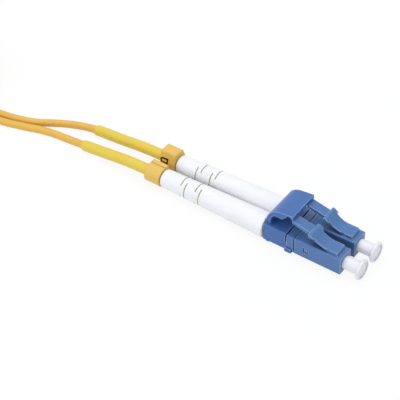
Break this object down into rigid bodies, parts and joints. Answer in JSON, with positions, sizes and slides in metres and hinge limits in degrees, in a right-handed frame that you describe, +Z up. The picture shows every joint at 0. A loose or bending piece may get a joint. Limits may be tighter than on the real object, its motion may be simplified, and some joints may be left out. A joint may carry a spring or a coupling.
{
  "type": "duplex fibre connector pigtail",
  "caption": "Duplex LC fibre connector: sprung ferrules in latched plugs, clip with trigger, dust caps, bend-relief boots, marker bands and jacketed cords.",
  "frame": {"origin": "on the surface the connector lies on, under the middle of the connector between its dust caps' ends and its marker bands' rear faces, midway between the two ferrules", "axes": "+X forward out of the ferrules, +Y across to the second connector, +Z up through the latches"},
  "size_m": [0.1554, 0.0188, 0.0136],
  "materials": {
    "connector_housing": "moulded polymer, satin gloss, blue",
    "clip_plastic": "moulded polymer, satin gloss, blue",
    "ferrule_ceramic": "polished zirconia ceramic, white",
    "holder_brass": "nickel-plated brass, satin",
    "spring_steel": "drawn stainless wire",
    "buffer_plastic": "buffered fibre, white",
    "crimp_metal": "plated crimp sleeve, satin",
    "boot_rubber": "soft moulded boot, white",
    "marker_plastic": "moulded marker band, amber yellow",
    "cap_plastic": "soft moulded cap, slightly translucent white",
    "cord_jacket": "smooth extruded jacket, light orange",
    "sleeve_plastic": "smooth extruded sleeve, yellow",
    "tie_fabric": "woven hook-and-loop strap, black"
  },
  "bodies": {
    "plug": {"front_housing_a": "connector_housing", "rear_body_a": "connector_housing", "spring_a": "spring_steel", "crimp_sleeve_a": "crimp_metal", "boot_a": "boot_rubber", "marker_band_a": "marker_plastic", "cord_entry_a": "cord_jacket", "cord_a": "cord_jacket", "sleeve_a": "sleeve_plastic", "front_housing_b": "connector_housing", "rear_body_b": "connector_housing", "spring_b": "spring_steel", "crimp_sleeve_b": "crimp_metal", "boot_b": "boot_rubber", "marker_band_b": "marker_plastic", "cord_entry_b": "cord_jacket", "cord_b": "cord_jacket", "sleeve_b": "sleeve_plastic", "duplex_clip": "clip_plastic", "cord_hank": "cord_jacket", "hank_tie": "tie_fabric"},
    "trigger": {"trigger": "clip_plastic"},
    "latch_a": {"latch_arm_a": "connector_housing"},
    "ferrule_a": {"ferrule_a": "ferrule_ceramic", "ferrule_holder_a": "holder_brass", "fibre_buffer_a": "buffer_plastic"},
    "cap_a": {"dust_cap_a": "cap_plastic"},
    "latch_b": {"latch_arm_b": "connector_housing"},
    "ferrule_b": {"ferrule_b": "ferrule_ceramic", "ferrule_holder_b": "holder_brass", "fibre_buffer_b": "buffer_plastic"},
    "cap_b": {"dust_cap_b": "cap_plastic"}
  },
  "joints": [
    {"name": "trigger_press", "type": "hinge", "parent": "plug", "child": "trigger", "pos_m": [0.00617, 0, 0.00536], "axis": [0, 1, 0], "range_deg": [0, 17], "stiffness_Nm_per_rad": 0.04},
    {"name": "latch_press_a", "type": "hinge", "parent": "plug", "child": "latch_a", "pos_m": [0.02118, -0.00313, 0.00531], "axis": [0, -1, 0], "range_deg": [0, 10.2], "stiffness_Nm_per_rad": 0.0005},
    {"name": "ferrule_slide_a", "type": "slide", "parent": "plug", "child": "ferrule_a", "axis": [-1, 0, 0], "range_m": [0, 0.0008], "stiffness_N_per_m": 1500, "deforming": ["spring_a"]},
    {"name": "dust_cap_pull_a", "type": "slide", "parent": "ferrule_a", "child": "cap_a", "axis": [1, 0, 0], "range_m": [0, 0.008]},
    {"name": "latch_press_b", "type": "hinge", "parent": "plug", "child": "latch_b", "pos_m": [0.02118, 0.00313, 0.00531], "axis": [0, -1, 0], "range_deg": [0, 10.2], "stiffness_Nm_per_rad": 0.0005},
    {"name": "ferrule_slide_b", "type": "slide", "parent": "plug", "child": "ferrule_b", "axis": [-1, 0, 0], "range_m": [0, 0.0008], "stiffness_N_per_m": 1500, "deforming": ["spring_b"]},
    {"name": "dust_cap_pull_b", "type": "slide", "parent": "ferrule_b", "child": "cap_b", "axis": [1, 0, 0], "range_m": [0, 0.008]}
  ],
  "couplings": [
    {"joint": "latch_press_a", "follows": "trigger_press", "ratio": 0.6},
    {"joint": "latch_press_b", "follows": "trigger_press", "ratio": 0.6}
  ]
}
